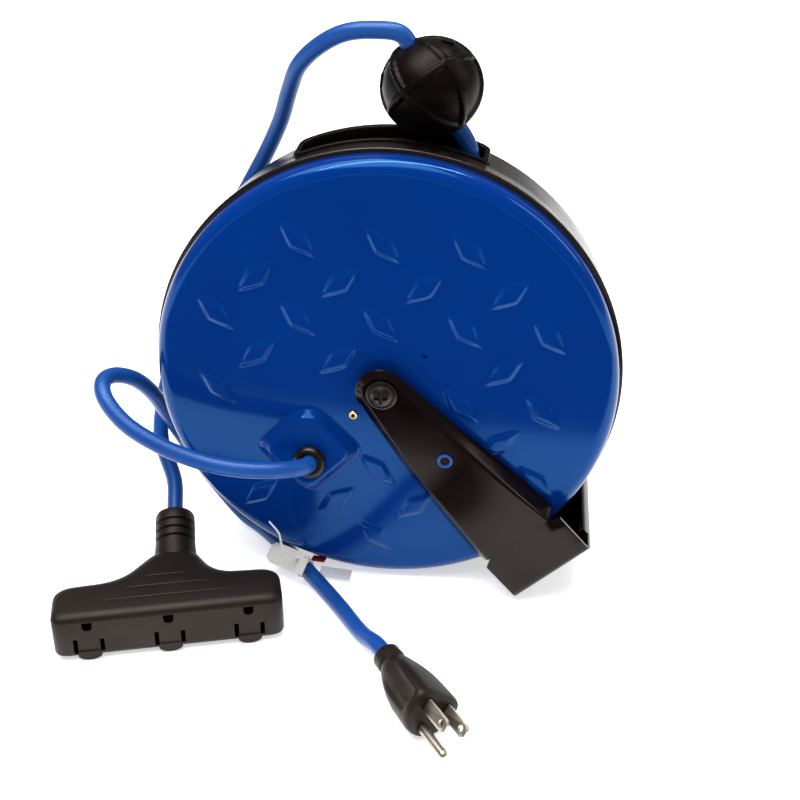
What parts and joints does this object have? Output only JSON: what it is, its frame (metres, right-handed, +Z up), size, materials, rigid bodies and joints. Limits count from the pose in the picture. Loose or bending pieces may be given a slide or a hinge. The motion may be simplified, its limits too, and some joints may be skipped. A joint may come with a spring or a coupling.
{
  "type": "extension cord reel",
  "caption": "Retractable extension cord reel: round drum with a treaded cover, U-shaped swivel bracket, cord stop ball, triple tap and a lead with a grounded plug.",
  "frame": {"origin": "on the surface the drum stands on, under the axle, midway between the bracket arms", "axes": "+Z up, +Y from the cover towards the back of the drum along the axle, +X to the right seen from the cover"},
  "size_m": [0.2725, 0.2118, 0.2817],
  "materials": {
    "blue_enamel": "high gloss blue enamel",
    "black_shell": "glossy black",
    "black_plastic": "satin black",
    "black_paint": "semi-gloss black",
    "steel": "plain",
    "black_screws": "black oxide",
    "nylon": "satin",
    "brass": "plain",
    "carbon": "pressed carbon",
    "blue_grommet": "gloss",
    "blue_cord": "satin blue jacket",
    "black_rubber": "matt moulded",
    "white_nylon": "translucent",
    "white_card": "blank"
  },
  "bodies": {
    "housing": {"front_cover": "blue_enamel", "rear_housing": "black_shell", "mouth_guide": "black_plastic", "axle": "steel", "hub_spacer_front": "nylon", "hub_washer_front": "black_screws", "hub_screw_front": "black_screws", "hub_spacer_rear": "nylon", "hub_washer_rear": "black_screws", "hub_screw_rear": "black_screws", "brass_eyelet": "brass", "strain_relief": "black_plastic", "lead_cord": "blue_cord", "plug_body": "black_rubber", "plug_blade_line": "brass", "plug_blade_neutral": "brass", "plug_ground_pin": "brass", "output_cord": "blue_cord", "ball_stop_front": "black_plastic", "ball_stop_rear": "black_plastic", "ball_screw_1": "black_screws", "ball_screw_2": "black_screws", "tap_body": "black_rubber", "tap_contact_line": "brass", "tap_contact_neutral": "brass", "tap_contact_ground": "brass", "tag_tie": "white_nylon", "blank_tag": "white_card", "mainspring": "steel", "spring_arbor": "steel", "brush_holder": "black_plastic", "brush_1": "carbon", "brush_2": "carbon", "brush_3": "carbon", "pawl_pin": "steel", "case_screw_1": "black_screws", "case_screw_2": "black_screws", "case_screw_3": "black_screws", "case_screw_4": "black_screws"},
    "bracket": {"bracket": "black_paint", "bracket_eyelet": "blue_grommet"},
    "spool": {"spool_hub": "black_plastic", "spool_flange_front": "black_plastic", "spool_flange_rear": "black_plastic", "wound_cord": "blue_cord", "slip_ring_disc": "black_plastic", "slip_ring_1": "brass", "slip_ring_2": "brass", "slip_ring_3": "brass", "ratchet_wheel": "steel"},
    "pawl": {"pawl": "steel"}
  },
  "joints": [
    {"name": "bracket_swivel", "type": "hinge", "parent": "housing", "child": "bracket", "pos_m": [0, 0, 0.116], "axis": [0, -1, 0], "range_deg": [-24, 94]},
    {"name": "spool_spin", "type": "hinge", "parent": "housing", "child": "spool", "pos_m": [0, 0, 0.116], "axis": [0, -1, 0], "continuous": true},
    {"name": "pawl_pivot", "type": "hinge", "parent": "housing", "child": "pawl", "pos_m": [-0.04749, -0.0092, 0.15585], "axis": [0, 1, 0], "range_deg": [0, 12], "stiffness_Nm_per_rad": 0.02}
  ]
}
